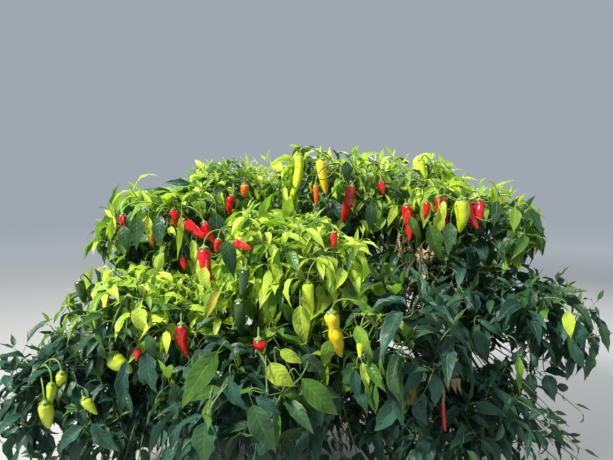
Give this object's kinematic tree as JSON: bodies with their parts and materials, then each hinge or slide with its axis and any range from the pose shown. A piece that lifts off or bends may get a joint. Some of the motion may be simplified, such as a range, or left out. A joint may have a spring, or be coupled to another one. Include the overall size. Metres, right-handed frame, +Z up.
{
  "type": "chilli pepper plant",
  "caption": "Bushy chilli pepper plant: a short flared stem forks into boughs and limbs that carry domed masses of pointed leaves with hanging pods.",
  "frame": {"origin": "middle of the flat cut under the main stem, at soil level", "axes": "+Z up; the side shown in the picture faces -Y; +X to the right of it"},
  "size_m": [1.3309, 0.9928, 0.9058],
  "materials": {
    "woody_stem": "finely ridged pale brown-green bark",
    "green_stem": "angular green stem, darker at its joints",
    "foliage": "smooth leaf with a soft sheen and sunken veins",
    "pods_red": "glossy ripe skin",
    "pods_green": "glossy unripe skin, yellow-green to dark green"
  },
  "bodies": {
    "root": {"main_stem": "woody_stem", "bough_back": "green_stem", "bough_front": "green_stem", "bough_left": "green_stem", "bough_right": "green_stem", "bough_top": "green_stem", "limb_back_left": "green_stem", "limb_back_low": "green_stem", "limb_back_right": "green_stem", "limb_back_top": "green_stem", "limb_crown_left": "green_stem", "limb_crown_right": "green_stem", "limb_crown_top": "green_stem", "limb_front_low": "green_stem", "limb_front_right": "green_stem", "limb_front_upper": "green_stem", "limb_inner_right": "green_stem", "limb_left_flank": "green_stem", "limb_left_shoulder": "green_stem", "limb_lower_left": "green_stem", "limb_lower_right": "green_stem", "limb_right_flank": "green_stem", "limb_right_shoulder": "green_stem", "foliage_back_left": "foliage", "foliage_back_low": "foliage", "foliage_back_right": "foliage", "foliage_back_top": "foliage", "foliage_crown_left": "foliage", "foliage_crown_right": "foliage", "foliage_crown_top": "foliage", "foliage_front_low": "foliage", "foliage_front_right": "foliage", "foliage_front_upper": "foliage", "foliage_inner_right": "foliage", "foliage_left_flank": "foliage", "foliage_left_shoulder": "foliage", "foliage_lower_left": "foliage", "foliage_lower_right": "foliage", "foliage_right_flank": "foliage", "foliage_right_shoulder": "foliage"}
  },
  "joints": []
}
